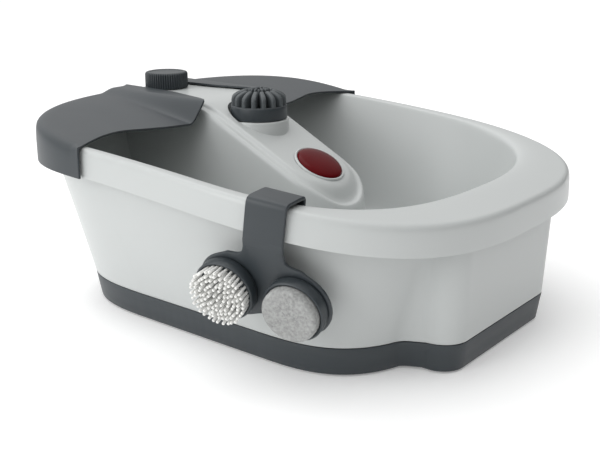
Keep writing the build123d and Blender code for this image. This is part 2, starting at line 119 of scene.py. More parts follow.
def egg(half, front, back, straight=(-5.0, 95.0), powers=(2.9, 2.6)):
    """Closed outline of two superelliptic ends and straight sides, from the front centre."""
    near, far = straight
    turn = np.linspace(0, math.pi / 2, FINE + 1)
    rise, run = np.sin(turn), np.abs(np.cos(turn))
    front_x = half * rise ** (2 / powers[0])
    front_y = near - (near - front) * run ** (2 / powers[0])
    back_x = half * rise[::-1] ** (2 / powers[1])
    back_y = far + (back - far) * run[::-1] ** (2 / powers[1])
    between = np.linspace(near, far, SIDE_POINTS + 2)[1:-1]
    x = np.concatenate([front_x, np.full(SIDE_POINTS, half), back_x])
    y = np.concatenate([front_y, between, back_y])
    side = np.column_stack([x, y])
    other = side[-2:0:-1] * [-1, 1]
    return np.vstack([side, other])


def at_height(outline, z):
    """Outline with a height, given as a number or one per point."""
    return np.column_stack([outline, np.broadcast_to(z, len(outline))])


def soft_min(a, b, soft):
    """Smaller of two values, with the corner between them rounded."""
    near = np.maximum(soft - np.abs(a - b), 0) / soft
    return np.minimum(a, b) - near ** 2 * soft / 4


def soft_max(a, b, soft):
    """Larger of two values, with the corner between them rounded."""
    near = np.maximum(soft - np.abs(a - b), 0) / soft
    return np.maximum(a, b) + near ** 2 * soft / 4


def smooth_rows(rows, per_span=4):
    """Rows of a cubic B-spline surface that follows control rows and ends on the outer two."""
    rows = [rows[0]] * 2 + list(rows) + [rows[-1]] * 2
    out = []
    for index in range(len(rows) - 3):
        a, b, c, d = rows[index:index + 4]
        for step in range(per_span):
            t = step / per_span
            leave, enter = (1 - t) ** 3, t ** 3
            before = 3 * t ** 3 - 6 * t * t + 4
            after = -3 * t ** 3 + 3 * t * t + 3 * t + 1
            out.append((leave * a + before * b + after * c + enter * d) / 6)
    out.append(rows[-1])
    return out


def grid_faces(rows, columns, closed):
    """Quads of a grid, rows one after the other."""
    faces = []
    last = columns if closed else columns - 1
    for row in range(rows - 1):
        for column in range(last):
            after = (column + 1) % columns
            start, end = row * columns, (row + 1) * columns
            faces.append((start + column, start + after, end + after, end + column))
    return faces


def capped_faces(rows, columns):
    """Quads of a closed grid with a flat face over its first and last rows."""
    first = (rows - 1) * columns
    caps = [tuple(range(columns))[::-1], tuple(range(first, first + columns))]
    return grid_faces(rows, columns, True) + caps


def piece(name, points, faces, body, slot, sharp=40.0):
    """Mesh piece from points in millimetres, on a body, with its slot's finish."""
    mesh = bpy.data.meshes.new(name)
    mesh.from_pydata([tuple(point) for point in np.asarray(points, float) * MM], [], faces)
    mesh.materials.append(LOOKS[slot])
    mesh.validate()
    mesh.shade_smooth()
    mesh.set_sharp_from_angle(angle=math.radians(sharp))
    obj = bpy.data.objects.new(name, mesh)
    bpy.context.scene.collection.objects.link(obj)
    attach(obj, body)
    return obj


def sheet_piece(name, rows, body, slot, thick, closed=False, bevel=0.0, flip=False):
    """Surface through rows of points, thickened inwards."""
    faces = grid_faces(len(rows), len(rows[0]), closed)
    if flip:
        faces = [face[::-1] for face in faces]
    obj = piece(name, np.vstack(rows), faces, body, slot)
    solid = obj.modifiers.new("wall", "SOLIDIFY")
    solid.thickness = thick * MM
    solid.offset = -1
    if bevel:
        edge = obj.modifiers.new("edge", "BEVEL")
        edge.width = bevel * MM
        edge.segments = 2
        edge.angle_limit = math.radians(BEVEL_ANGLE)
    return obj


def lathe(profile, place, segments=FACETS, shape=None):
    """Points and faces of a turned form; profile is (radius, height), from base to top."""
    points = []
    for radius, height in profile:
        for step in range(segments):
            angle = 2 * math.pi * step / segments
            r = radius if shape is None else shape(radius, height, angle)
            points.append(place @ Vector((r * math.cos(angle), r * math.sin(angle), height)))
    return points, capped_faces(len(profile), segments)


def joined(parts):
    """One list of points and faces from several."""
    points, faces = [], []
    for some_points, some_faces in parts:
        base = len(points)
        points.extend(some_points)
        faces.extend(tuple(index + base for index in face) for face in some_faces)
    return points, faces


# ---- Materials ----

GLOSS_SWING = 0.05
DRIFT_DETAIL, GRAIN_DETAIL = 3.0, 2.0
LENS_SPECULAR = 0.1


def material(name, color, rough, spread, grain, bump, metal=0.0, blotch=14.0, depth=0.0002):
    """Moulded surface: faint colour drift, uneven gloss and a fine grain."""
    mat = bpy.data.materials.new(name)
    mat.use_nodes = True
    tree = mat.node_tree
    shader = tree.nodes["Principled BSDF"]
    shader.inputs["Metallic"].default_value = metal
    place = tree.nodes.new("ShaderNodeTexCoord")
    drift = tree.nodes.new("ShaderNodeTexNoise")
    drift.inputs["Scale"].default_value = blotch
    drift.inputs["Detail"].default_value = DRIFT_DETAIL
    tree.links.new(place.outputs["Object"], drift.inputs["Vector"])
    tone = tree.nodes.new("ShaderNodeMix")
    tone.data_type = "RGBA"
    tone.inputs[6].default_value = (*[c * (1 - spread) for c in color], 1)
    tone.inputs[7].default_value = (*[min(1, c * (1 + spread)) for c in color], 1)
    tree.links.new(drift.outputs["Fac"], tone.inputs[0])
    tree.links.new(tone.outputs[2], shader.inputs["Base Color"])
    gloss = tree.nodes.new("ShaderNodeMapRange")
    gloss.inputs["To Min"].default_value = rough - GLOSS_SWING
    gloss.inputs["To Max"].default_value = rough + GLOSS_SWING
    tree.links.new(drift.outputs["Fac"], gloss.inputs["Value"])
    tree.links.new(gloss.outputs["Result"], shader.inputs["Roughness"])
    fine = tree.nodes.new("ShaderNodeTexNoise")
    fine.inputs["Scale"].default_value = grain
    fine.inputs["Detail"].default_value = GRAIN_DETAIL
    tree.links.new(place.outputs["Object"], fine.inputs["Vector"])
    relief = tree.nodes.new("ShaderNodeBump")
    relief.inputs["Strength"].default_value = bump
    relief.inputs["Distance"].default_value = depth
    tree.links.new(fine.outputs["Fac"], relief.inputs["Height"])
    tree.links.new(relief.outputs["Normal"], shader.inputs["Normal"])
    return mat


LOOKS = {
    "shell_light": material("light_plastic", (0.52, 0.54, 0.535), 0.33, 0.012, 1400, 0.05),
    "shell_dark": material("dark_plastic", (0.032, 0.04, 0.046), 0.42, 0.05, 1600, 0.1),
    "rubber_dark": material("black_rubber", (0.02, 0.02, 0.022), 0.7, 0.1, 800, 0.3),
    "soft_grey": material("grey_elastomer", (0.07, 0.08, 0.086), 0.5, 0.08, 900, 0.2),
    "mat_grey": material("light_elastomer", (0.60, 0.615, 0.61), 0.5, 0.03, 900, 0.2),
    "steel": material("zinc_steel", (0.55, 0.55, 0.55), 0.3, 0.1, 500, 0.1, metal=1.0),
    "aluminium": material("sheet_aluminium", (0.75, 0.75, 0.76), 0.35, 0.06, 500, 0.1, metal=1.0),
    "black_plastic": material("black_plastic", (0.02, 0.02, 0.02), 0.45, 0.1, 1200, 0.1),
    "board_green": material("circuit_board", (0.02, 0.14, 0.05), 0.4, 0.2, 300, 0.2, blotch=90),
    "reflector_white": material("white_reflector", (0.8, 0.8, 0.8), 0.2, 0.02, 900, 0.02),
    "lens_red": material("red_lens", (0.1, 0.0, 0.002), 0.12, 0.2, 300, 0.0, blotch=40),
    "bristle_white": material("white_nylon", (0.82, 0.82, 0.80), 0.35, 0.08, 1500, 0.1, blotch=300),
    "pumice": material("pumice_stone", (0.34, 0.345, 0.34), 0.9, 0.55, 700, 0.9, blotch=420,
                       depth=0.0006),
    "hose_clear": material("pvc_hose", (0.6, 0.6, 0.58), 0.25, 0.03, 400, 0.05),
}
lens_shader = LOOKS["lens_red"].node_tree.nodes["Principled BSDF"]
lens_shader.inputs["Specular IOR Level"].default_value = LENS_SPECULAR


def dress_frame():
    """Every CAD node takes its slot's procedural finish."""
    slots = {entry["node"]: entry["material_slot"] for entry in frame["record"]["subparts"]}
    for name, node in frame["nodes"].items():
        node.data.materials.clear()
        node.data.materials.append(LOOKS[slots[name]])


# ---- Tub ----

def floor_bend():
    """Outline where the inner wall turns into the floor."""
    return egg(140, -145, 172, (-60, 60), (2.6, 2.6))


def wall_point(z):
    """Points of the inner wall at heights z, one height per outline point."""
    mouth = egg(177, -174.5, 202.5, (-20, 95), (2.6, 2.6))
    part = ((z - BEND_Z) / WALL_RISE)[:, None]
    return at_height(floor_bend() * (1 - part) + mouth * part, z)


def rim_row(inset, drop):
    """Row of the rim, so far in from its outer edge and so far below its crest."""
    outline = egg(RIM_HALF - inset, RIM_FRONT + inset, RIM_BACK - inset)
    return at_height(outline, rim_z(outline[:, 1]) - drop)


def tub():
    """Rim, flange, walls and floor as one smooth skin."""
    crest = rim_row(10.0, 0.2)
    lip_z = rim_z(crest[:, 1]) - LIP_DROP
    for _ in range(3):       # the lip's height and place depend on each other
        lip = wall_point(lip_z)
        lip_z = rim_z(lip[:, 1]) - LIP_DROP
    rows = [rim_row(0, BAND), rim_row(0, BAND - 1.5), rim_row(0.1, 14), rim_row(0.4, 7),
            rim_row(0.9, 2.2), rim_row(3.2, 0.0), rim_row(6.0, 0.0), crest]
    for part in (0.35, 0.7):
        row = crest * (1 - part) + lip * part
        row[:, 2] = rim_z(row[:, 1]) - 0.2 - 2.0 * part ** 2
        rows.append(row)
    rows.append(lip)
    for part in (0.06, 0.14, 0.35, 0.6, 0.8, 0.92):
        rows.append(wall_point(lip_z * (1 - part) + 50.0 * part))
    middle = np.array([0.0, FLOOR_MIDDLE_Y])
    for grow, z in ((0.975, 43.5), (0.93, 40.6), (0.85, FLOOR_Z), (0.6, FLOOR_Z), (0.3, FLOOR_Z)):
        rows.append(at_height((floor_bend() - middle) * grow + middle, z))
    rows.append(at_height(np.tile(middle, (len(lip), 1)), FLOOR_Z))
    skin = smooth_rows(rows)
    obj = sheet_piece("tub", skin, "spa", "shell_light", TUB_THICK, closed=True)
    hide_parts("upper_basin")


# ---- Console ----

def console_top(y):
    """Height of the console's middle: the slope runs softly into the platform."""
    height = soft_min(SLOPE_Z + SLOPE * y, PLATFORM_Z, 10.0)
    nose = np.maximum(NOSE_BEND_Y - y, 0)
    return height - nose ** 2 * NOSE_BEND


def console_edge():
    """Ridge of the console in plan with outward directions, from the back right to the back left."""
    half, nose_y, back = CONSOLE_HALF, CONSOLE_NOSE_Y, CONSOLE_BACK_Y
    centre = nose_y + half * 1.12
    sides = [(half + CONSOLE_FLARE * (y - centre) / (back - centre), y)
             for y in np.linspace(back, centre, 60)]
    turn = np.linspace(0, math.pi, 60)[1:-1]
    power = 2 / 2.25
    nose = [(half * np.sign(math.cos(t)) * abs(math.cos(t)) ** power,
             centre - (centre - nose_y) * math.sin(t) ** power) for t in turn]
    line = np.array(sides + nose + [(-x, y) for x, y in reversed(sides)])
    ahead = np.gradient(line, axis=0)
    out = np.column_stack([-ahead[:, 1], ahead[:, 0]])
    out /= np.linalg.norm(out, axis=1)[:, None]
    if out[0, 0] < 0:
        out = -out
    return line, out, centre


def console():
    """Raised console: inset top, rounded double edge and sides that flare into the floor."""
    line, out, centre = console_edge()
    edge_z = console_top(line[:, 1]) - CONSOLE_EDGE_DROP
    middle = np.column_stack([np.zeros(len(line)), np.maximum(line[:, 1], centre)])
    plateau = line - out * CONSOLE_INSET
    rows = []
    for part in (0.0, 0.25, 0.5, 0.75, 0.94):
        spot = middle * (1 - part) + plateau * part
        rows.append(at_height(spot, console_top(spot[:, 1])))
    profile = ((-8.0, -0.1), (-6.6, -1.5), (-5.4, -3.4), (-3.0, -3.9), (-1.6, -3.9), (-0.2, -4.6),
               (0.8, -7.0), (1.2, -11.0))
    for offset, drop in profile:
        rows.append(at_height(line + out * offset, console_top(line[:, 1]) + drop))
    low = edge_z - 7.0
    for turn in (0.12, 0.25, 0.4, 0.55, 0.7, 0.82, 0.92, 1.0):
        angle = turn * math.pi / 2
        offset = 1.4 + CONSOLE_REACH * (1 - math.cos(angle)) ** 1.15
        z = low - (low - FLOOR_Z - 0.2) * math.sin(angle)
        rows.append(at_height(line + out * offset, z))
    skin = smooth_rows(rows, 3)
    for row in skin:
        behind = row[:, 1] > CONSOLE_LIMIT_FROM_Y
        row[behind, 1] = np.minimum(row[behind, 1], CONSOLE_LIMIT_Y)
    bottom = skin[-1].copy()
    bottom[:, 2] = FLOOR_Z - 1.0
    skin.append(bottom)
    floor_middle = bottom.copy()
    floor_middle[:, 0] = 0
    skin.append(floor_middle)
    columns = len(line)
    count = len(skin)
    right_end = tuple(row * columns for row in range(count))[::-1]
    left_end = tuple(row * columns + columns - 1 for row in range(count))
    faces = grid_faces(count, columns, False) + [right_end, left_end]
    obj = piece("console", np.vstack(skin), faces, "spa", "shell_light")
    seat_cut(obj)


def seat_cut(obj):
    """Pocket for the massage attachment, cut square to the seat."""
    place = Matrix.Translation((0, CAP_Y, 0))
    radius = PEDESTAL_R + SEAT_GAP
    points, faces = lathe([(radius, PEDESTAL_Z), (radius, PEDESTAL_Z + SEAT_CUT_HEIGHT)], place, 128)
    mesh = bpy.data.meshes.new("seat_tool")
    mesh.from_pydata([tuple(Vector(point) * MM) for point in points], [], faces)
    tool = bpy.data.objects.new("seat_tool", mesh)
    bpy.context.scene.collection.objects.link(tool)
    cut = obj.modifiers.new("seat", "BOOLEAN")
    cut.operation = "DIFFERENCE"
    cut.solver = "EXACT"
    cut.object = tool
    bpy.context.view_layer.update()
    result = obj.evaluated_get(bpy.context.evaluated_depsgraph_get())
    shape = bpy.data.meshes.new_from_object(result)
    obj.modifiers.clear()
    obj.data = shape
    shape.shade_smooth()
    shape.set_sharp_from_angle(angle=math.radians(35))
    bpy.data.objects.remove(tool)


def pedestal():
    """Round seat under the massage attachment."""
    place = Matrix.Translation((0, CAP_Y, 0))
    profile = [(PEDESTAL_R, PEDESTAL_FOOT_Z), (PEDESTAL_R, PEDESTAL_Z - 1.2),
               (PEDESTAL_R - 0.4, PEDESTAL_Z - 0.4), (PEDESTAL_R - 1.2, PEDESTAL_Z), (8, PEDESTAL_Z)]
    points, faces = lathe(profile, place)
    piece("pedestal", points, faces, "spa", "shell_light")


def lens_place():
    """Frame on the console's slope, with Z out of the lens."""
    place = Matrix.Translation((0, LENS_Y, SLOPE_Z + SLOPE * LENS_Y))
    return place @ Matrix.Rotation(math.radians(LENS_TILT), 4, "X")


def lens():
    """Red dome with a raised rounded bezel, an open strip, round it."""
    steps, dome_r = 14, LENS_R - 1.0
    dome = [(dome_r, -2.0)]
    for step in range(steps):
        part = step / steps
        height = 1.2 + 4.6 * math.sin(part * math.pi / 2)
        dome.append((dome_r * math.cos(part * math.pi / 2), height))
    points, faces = lathe(dome, lens_place())
    obj = piece("lens_dome", points, faces, "spa", "lens_red")
    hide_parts("red_lens")
    ring = []
    ring_steps = 12
    for step in range(ring_steps + 1):
        angle = math.pi * step / ring_steps
        ring.append((LENS_R + 0.2 + 1.3 * math.cos(angle), 0.2 + 1.5 * math.sin(angle)))
    points, faces = lathe(ring, lens_place())
    piece("lens_bezel", points, faces[:-2], "spa", "shell_light")


# ---- Side wall and base ----

WALL_CENTRE = np.array([0.0, WALL_CENTRE_Y])
WALL_ANGLES = np.linspace(-math.pi, math.pi, 721)[:-1]


def polar_radius(outline, angles):
    """Distance from the wall's centre to a closed outline at the given angles."""
    away = outline - WALL_CENTRE
    turn = np.arctan2(away[:, 1], away[:, 0])
    order = np.argsort(turn)
    reach = np.hypot(away[order, 0], away[order, 1])
    return np.interp(angles, turn[order], reach, period=2 * math.pi)


def block_outline(draft):
    """Front foot block in plan, grown by the draft, as points round its front."""
    half, front, corner = BLOCK_HALF + draft, BLOCK_FRONT - draft, BLOCK_CORNER
    right = [(half, BLOCK_BACK)]
    for t in np.linspace(0, math.pi / 2, 24):
        right.append((half - corner + corner * math.cos(t), front + corner - corner * math.sin(t)))
    flat = [(x, front) for x in np.linspace(half - corner, -(half - corner), 40)[1:-1]]
    return np.array(right + flat + [(-x, y) for x, y in reversed(right)])


def wall_radius(angles, main, block):
    """Smooth union of the main outline and the front block, seen from the middle."""
    whole = polar_radius(main, angles)
    away = block - WALL_CENTRE
    turn = np.unwrap(np.arctan2(away[:, 1], away[:, 0]))
    order = np.argsort(turn)
    part = np.interp(angles, turn[order], np.hypot(away[order, 0], away[order, 1]), left=0, right=0)
    return soft_max(whole, part, 7.0)


def wall_row(angles, radius, z):
    """Row of points at the given angles and distances from the wall's centre."""
    x = radius * np.cos(angles)
    y = radius * np.sin(angles) + WALL_CENTRE_Y
    return np.column_stack([x, y, np.broadcast_to(z, len(angles))])


def split_outline():
    """Outline where the side wall meets the base, without the front block."""
    return egg(147, -166.5, 183.5, (-60, 60), (3.2, 3.2))


def side_wall():
    """Light wall between the base and the rim, with the soft crease beside the front block."""
    foot = split_outline()
    head = egg(181, -200.5, 208.3)
    rows = []
    for part in [0.0, 0.004] + list(np.linspace(0.03, 1.0, 22)):
        z = SPLIT_Z + 0.35 + part * WALL_ROWS_RISE
        lift = (z - SPLIT_Z) / (WALL_HEAD_Z - SPLIT_Z)
        draft = (z - SPLIT_Z) * math.tan(math.radians(WALL_DRAFT))
        main = foot * (1 - lift) + head * lift
        radius = wall_radius(WALL_ANGLES, main, block_outline(draft))
        if part == 0.0:
            radius = radius - 0.5
        row = wall_row(WALL_ANGLES, radius, z)
        row[:, 2] = np.minimum(z, rim_z(row[:, 1]) - 6.0)
        rows.append(row)
    obj = sheet_piece("side_wall", rows, "spa", "shell_light", WALL_THICK, closed=True)
    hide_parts("outer_body")


def base_skirt():
    """Dark skin over the sides of the base pan."""
    low = egg(143.5, -163, 180, (-60, 60), (3.2, 3.2))
    high = split_outline()
    rows = []
    steps = ((0.0, 1.6), (0.02, 0.5), (0.06, 0.0), (0.3, 0.0), (0.6, 0.0), (0.97, 0.0), (1.0, 0.5))
    for part, tuck in steps:
        z = BASE_Z + part * (SPLIT_Z - BASE_Z)
        draft = (SPLIT_Z - z) * math.tan(math.radians(BASE_DRAFT))
        main = low * (1 - part) + high * part
        radius = wall_radius(WALL_ANGLES, main, block_outline(-draft))
        rows.append(wall_row(WALL_ANGLES, radius + 0.15 - tuck, z))
    sheet_piece("base_skirt", rows, "spa", "shell_dark", SKIRT_THICK, closed=True)


# ---- Splash guards ----

def curve_through(points, count):
    """Even points on a Catmull-Rom curve through the given points."""
    points = np.array(points, float)
    padded = np.vstack([2 * points[0] - points[1], points, 2 * points[-1] - points[-2]])
    fine, steps = [], 20
    for index in range(len(padded) - 3):
        a, b, c, d = padded[index:index + 4]
        for step in range(steps):
            t = step / steps
            fine.append(0.5 * (2 * b + (c - a) * t + (2 * a - 5 * b + 4 * c - d) * t * t
                               + (3 * b - a - 3 * c + d) * t ** 3))
    fine.append(points[-1])
    fine = np.array(fine)
    run = np.concatenate([[0], np.cumsum(np.linalg.norm(np.diff(fine, axis=0), axis=1))])
    marks = np.linspace(0, run[-1], count)
    return np.column_stack([np.interp(marks, run, fine[:, axis]) for axis in range(2)])


def guard_height(x, y):
    """The deck climbs to the back and steps up over the console's edge."""
    back = np.minimum(y, GUARD_BACK_Y)
    deck = GUARD_BACK_Z - GUARD_FALL * ((GUARD_BACK_Y - back) / GUARD_RUN) ** 1.3
    deck = np.maximum(deck, rim_z(back) + GUARD_THICK + 0.4)
    part = np.clip((GUARD_STEP_X - np.abs(x)) / GUARD_STEP, 0, 1)
    return deck + (GUARD_Z - deck) * part * part * (3 - 2 * part)


def guard_outer():
    """Plan of the left guard's outer edge, from its front end to the back."""
    rim = egg(RIM_HALF + GUARD_OUT, RIM_FRONT - GUARD_OUT, RIM_BACK + GUARD_OUT - 1.4)
    left = rim[(rim[:, 0] <= -GUARD_INNER_X + 1) & (rim[:, 1] >= 70)]
    left = left[np.argsort(np.arctan2(left[:, 1] - 60, -left[:, 0]))]
    left = np.vstack([[[left[0, 0], 87.0]], left[left[:, 1] > 89]])
    return curve_through(left, GUARD_POINTS)


def guard_inward(outer, inner):
    """Directions along which the left guard's skirt turns into its deck."""
    normal = np.gradient(outer, axis=0)
    normal = np.column_stack([normal[:, 1], -normal[:, 0]])
    normal /= np.linalg.norm(normal, axis=1)[:, None]
    if normal[0, 0] > 0:
        normal = -normal
    room = np.linalg.norm(outer - inner, axis=1)
    return normal * np.minimum(GUARD_ROUND, room * 0.7)[:, None]


def splash_guard(side):
    """Deck that sweeps up to the console and a skirt over the rim band."""
    edge = [(-188.5, 87), (-167, 96), (-148, 102), (-128, 103.5), (-106, 98), (-85, 93), (-66, 90),
            (-55, 87.5), (-47, 86.5), (-41, 93), (-34, 120), (-28, 147), (-26, 176), (-GUARD_INNER_X, 213)]
    inner = curve_through(edge, GUARD_POINTS)
    outer = guard_outer()
    inward = guard_inward(outer, inner)
    bend = outer - inward
    rows = []
    for part in np.linspace(0, 1, 30) ** 1.5:
        row = inner * (1 - part) + bend * part
        rows.append(at_height(row, guard_height(row[:, 0], row[:, 1])))
    top = guard_height(bend[:, 0], bend[:, 1])
    for inset, drop in ((0.55, 0.5), (0.2, 2.4), (0.03, 5.5)):
        rows.append(at_height(outer - inward * inset, top - drop))
    low = rim_z(outer[:, 1]) - BAND
    for part in (0.35, 0.7, 1.0):
        rows.append(at_height(outer, (top - 8.0) * (1 - part) + low * part))
    skin = smooth_rows(rows, 2)
    if side > 0:
        skin = [row * [-1, 1, 1] for row in skin]
    name = "left" if side < 0 else "right"
    obj = sheet_piece("guard_" + name, skin, "guard_" + name, "shell_dark", GUARD_THICK - 0.2,
                      bevel=0.5, flip=side > 0)
    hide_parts("splash_guard_" + name)


# ---- Knob and massage attachment ----

def knob():
    """Selector knob with fine upright ribs and a dished top."""
    ribs = 56

    def ribbed(radius, height, angle):
        if radius < KNOB_R - 2.2:
            return radius
        wave = 0.5 + 0.5 * math.cos(ribs * angle)
        return radius - 0.9 * wave ** 2
    tall = KNOB_HIGH[2] - KNOB_LOW[2]
    profile = [(KNOB_R - 0.6, 0), (KNOB_R, 0.6), (KNOB_R, tall * 0.4), (KNOB_R - 0.1, tall - 2.2),
               (KNOB_R - 0.6, tall - 1.0), (KNOB_R - 1.5, tall - 0.3), (KNOB_R - 3.0, tall),
               (KNOB_R - 4.2, tall - 0.1), (KNOB_R - 5.0, tall - 0.7), (6, tall - 1.0), (0.5, tall - 1.0)]
    place = Matrix.Translation((0, KNOB_Y, KNOB_LOW[2]))
    points, faces = lathe(profile, place, ribs * 8, ribbed)
    obj = piece("knob", points, faces, "knob", "shell_dark", 30)
    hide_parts("control_knob")


def fin(place, near, far, low, half):
    """Upright radial fin with a rounded plan and a top that follows a dome."""
    points = []
    levels = ((1.0, 0.0), (1.0, 0.7), (0.93, 0.9), (0.72, 0.98), (0.3, 1.0))
    around = 20
    middle, reach = (near + far) / 2, (far - near) / 2
    for scale, part in levels:
        for step in range(around):
            angle = 2 * math.pi * step / around
            across, along = math.sin(angle), math.cos(angle)
            x = middle + reach * scale * math.copysign(abs(along) ** 0.5, along)
            y = half * scale * math.copysign(abs(across) ** 0.6, across)
            top = DOME_TALL * math.sqrt(max(0.0, 1 - (x / DOME_R) ** 2))
            points.append(place @ Vector((x, y, low + top * part)))
    return points, capped_faces(len(levels), around)


def massage_head():
    """Cup with rings of soft rounded fingers under a domed envelope."""
    tall = CAP_HIGH[2] - CAP_LOW[2]
    place = Matrix.Translation((0, CAP_Y, CAP_LOW[2]))
    profile = [(CAP_R - 1.0, 0), (CAP_R - 0.2, 0.5), (CAP_R, 1.4), (CAP_R, tall - 1.6),
               (CAP_R - 0.4, tall - 0.5), (CAP_R - 1.2, tall), (CAP_R - 2.0, tall - 0.4),
               (CAP_R - 2.4, tall - 2.0), (2, tall - 2.0)]
    points, faces = lathe(profile, place)
    cup = piece("massage_cup", points, faces, "massage_head", "shell_dark")
    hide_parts("massage_cap")
    fins = []
    low = tall - 2.5
    count = 16
    for index in range(count):
        spot = place @ Matrix.Rotation(2 * math.pi * (index + 0.3) / count, 4, "Z")
        fins.append(fin(spot, 11.5, CAP_R - 0.5, low, 2.5))
        between = spot @ Matrix.Rotation(math.pi / count, 4, "Z")
        fins.append(fin(between, 3.5 + 4.0 * (index % 2), 10.2, low, 1.1))
    points, faces = joined(fins)
    insert = piece("massage_fingers_soft", points, faces, "massage_head", "soft_grey", 60)
    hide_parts("massage_fingers")


# ---- Pedicure clip ----

def clip_place():
    """Frame at the rim's outer edge beside the clip: X outwards, Y along the rim."""
    along = (-5 - CLIP_Y) / (-5 - RIM_FRONT)
    x = -RIM_HALF * (1 - along ** 2.9) ** (1 / 2.9)
    turn = Matrix.Rotation(math.radians(CLIP_TURN), 4, "Z")
    turn = turn @ Matrix.Rotation(math.radians(CLIP_TILT), 4, "X")
    return Matrix.Translation((x, CLIP_Y, rim_z(CLIP_Y))) @ turn


def plate_place():
    """Frame of the plate: X out of its front, Y across it and Z up it."""
    lean = Matrix.Rotation(math.radians(CLIP_LEAN), 4, "Y")
    return clip_place() @ Matrix.Translation((CLIP_OUT, 0, -BAND - 2)) @ lean


def head_place(side):
    """Frame of a seat on the plate, with Z out of its front."""
    seat = Matrix.Translation((CLIP_THICK + 0.4, side * HEAD_SPACING, -HEAD_DROP))
    return plate_place() @ seat @ Matrix.Rotation(math.radians(90), 4, "Y")


def plate_outline():
    """Forked outline of the plate, as points found along rays from between the seats."""
    centre = np.array(PLATE_CENTRE)
    angles = np.linspace(0, 2 * math.pi, 240, endpoint=False)
    reach = np.linspace(75, 2, 900)
    y = centre[0] + reach[None, :] * np.cos(angles)[:, None]
    z = centre[1] + reach[None, :] * np.sin(angles)[:, None]
    strap = np.maximum(np.abs(y) - STRAP_HALF, np.maximum(z - 1.0, -60 - z))
    seats = [np.hypot(y - side * HEAD_SPACING, z + HEAD_DROP) - HEAD_R - 1.5 for side in (-1, 1)]
    web = np.maximum(np.abs(y) - 24.0, np.maximum(z + 22, -52 - z))
    shape = soft_min(soft_min(seats[0], seats[1], 6), soft_min(strap, web, 10), 16)
    hit = np.argmax(shape < 0, axis=1)
    return [(centre[0] + reach[k] * math.cos(a), centre[1] + reach[k] * math.sin(a))
            for a, k in zip(angles, hit)]


def clip_plate():
    """Leaning forked plate with rounded edges."""
    outline = np.array(plate_outline())
    centre = np.array(PLATE_CENTRE)
    place = plate_place()
    points = []
    edge = ((0.97, 0.0), (1.0, 0.6), (1.0, CLIP_THICK - 1.0), (0.985, CLIP_THICK - 0.25),
            (0.96, CLIP_THICK), (0.6, CLIP_THICK), (0.02, CLIP_THICK))
    for scale, out in edge:
        ring = (outline - centre) * scale + centre
        points.extend(place @ Vector((out, y, z)) for y, z in ring)
    return points, capped_faces(len(edge), len(outline))


def clip_hook():
    """Strap that rises from the plate, turns over the rim and ends in a short lip."""
    outer = CLIP_OUT + CLIP_THICK
    top = 2.2 + CLIP_THICK
    path = [(outer - 1.2, -BAND - 8.0), (outer - 0.2, -BAND - 3.5), (outer, -BAND + 1),
            (outer, -10.0), (outer, -2.0), (outer - 0.4, top - 3.6), (outer - 2.0, top - 1.0),
            (outer - 5.0, top), (-8.0, top), (-18.0, top), (-24.0, top - 0.2),
            (-27.0, top - 1.6), (-28.0, top - 5.0), (-28.0, top - 10.5)]
    skin = smooth_rows([np.array([[x, 0.0, z]]) for x, z in path])
    line = np.array([row[0] for row in skin])
    ahead = np.gradient(line, axis=0)
    inward = np.column_stack([-ahead[:, 2], np.zeros(len(line)), ahead[:, 0]])
    inward /= np.linalg.norm(inward, axis=1)[:, None]
    place = clip_place()
    section = [(-1.0, 0.35), (-0.96, 0.05), (-0.9, 0.0), (0.9, 0.0), (0.96, 0.05), (1.0, 0.35),
               (1.0, 0.8), (0.97, 1.0), (-0.97, 1.0), (-1.0, 0.8)]
    points = []
    for spot, side in zip(line, inward):
        for across, deep in section:
            point = spot + side * deep * (CLIP_THICK - 0.1) + np.array([0, across * STRAP_HALF, 0])
            points.append(place @ Vector(point))
    return points, capped_faces(len(line), len(section))


def clip():
    """The plate and the hook as one piece."""
    points, faces = joined([clip_plate(), clip_hook()])
    obj = piece("pedicure_clip", points, faces, "clip", "shell_dark")
    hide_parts("accessory_clip")


def head_cup(name, side, body, node):
    """Round cup with a soft back edge and a thin front lip."""
    profile = [(HEAD_R - 2.5, 0.0), (HEAD_R - 0.8, 0.5), (HEAD_R, 2.0), (HEAD_R, 8.8),
               (HEAD_R - 0.5, 9.7), (HEAD_R - 1.2, 10.0), (HEAD_R - 2.0, 9.6),
               (HEAD_R - 2.2, CUP_TALL), (2, CUP_TALL)]
    points, faces = lathe(profile, head_place(side), 80)
    obj = piece(name, points, faces, body, "shell_dark")
    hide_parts(node)


def bristles():
    """Rings of bristle tufts that splay a little, round a bare middle."""
    place = head_place(BRUSH_SIDE)
    tufts = []
    for radius, count in ((20.4, 34), (16.9, 28), (13.4, 22), (9.9, 16), (6.2, 9), (2.4, 3)):
        for index in range(count):
            angle = 2 * math.pi * (index + random.uniform(-0.12, 0.12)) / count
            lean = math.radians(radius * 0.3 + random.uniform(-3, 3))
            side = math.radians(random.uniform(-4, 4))
            tall = random.uniform(10.6, 11.8)
            spot = place @ Matrix.Rotation(angle, 4, "Z") @ Matrix.Translation((radius, 0, CUP_TALL))
            spot = spot @ Matrix.Rotation(lean, 4, "Y") @ Matrix.Rotation(side, 4, "X")
            shape = [(1.0, 0), (1.12, tall * 0.6), (1.2, tall - 0.7), (1.0, tall - 0.2), (0.5, tall)]
            tufts.append(lathe(shape, spot, 9))
    points, faces = joined(tufts)
    obj = piece("bristle_tufts", points, faces, "brush", "bristle_white", 60)
    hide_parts("brush_bristles")


